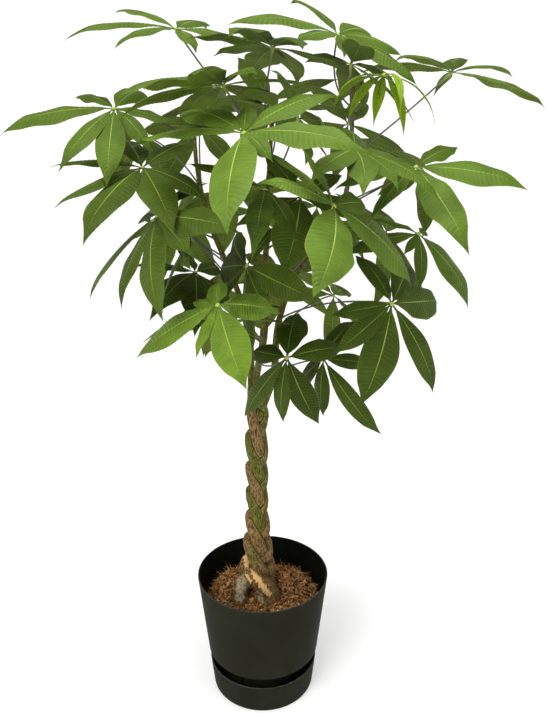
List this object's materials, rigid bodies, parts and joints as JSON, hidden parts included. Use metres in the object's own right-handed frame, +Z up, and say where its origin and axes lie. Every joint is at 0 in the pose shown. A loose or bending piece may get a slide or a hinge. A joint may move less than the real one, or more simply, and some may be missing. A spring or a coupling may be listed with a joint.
{
  "type": "potted money tree",
  "caption": "Money tree with a plaited trunk and palmate leaves, in coir soil in a black plastic pot that stands in a reservoir saucer.",
  "frame": {"origin": "centre of the saucer's flat base, on the surface that the plant stands on", "axes": "+Z up along the pot's axis, -Y towards the viewer of the picture, +X to the viewer's right"},
  "size_m": [0.823, 0.7335, 1.2154],
  "materials": {
    "pot_plastic": "satin",
    "saucer_plastic": "satin",
    "coir_soil": "matte",
    "bark": "matte",
    "leaf": "satin"
  },
  "bodies": {
    "root": {"pot": "pot_plastic", "saucer": "saucer_plastic", "soil": "coir_soil", "stem_left": "bark", "stem_middle": "bark", "stem_right": "bark", "leaf_01": "leaf", "leaf_02": "leaf", "leaf_03": "leaf", "leaf_04": "leaf", "leaf_05": "leaf", "leaf_06": "leaf", "leaf_07": "leaf", "leaf_08": "leaf", "leaf_09": "leaf", "leaf_10": "leaf", "leaf_11": "leaf", "leaf_12": "leaf", "leaf_13": "leaf", "leaf_14": "leaf", "leaf_15": "leaf", "leaf_16": "leaf", "leaf_17": "leaf", "leaf_18": "leaf", "leaf_19": "leaf", "leaf_20": "leaf", "leaf_21": "leaf", "leaf_22": "leaf", "leaf_23": "leaf", "leaf_24": "leaf", "leaf_25": "leaf", "leaf_26": "leaf", "leaf_27": "leaf", "leaf_28": "leaf", "leaf_29": "leaf", "leaf_30": "leaf", "leaf_31": "leaf", "leaf_32": "leaf", "leaf_33": "leaf", "leaf_34": "leaf", "leaf_35": "leaf", "leaf_36": "leaf", "leaf_37": "leaf", "leaf_38": "leaf", "leaf_39": "leaf"}
  },
  "joints": []
}
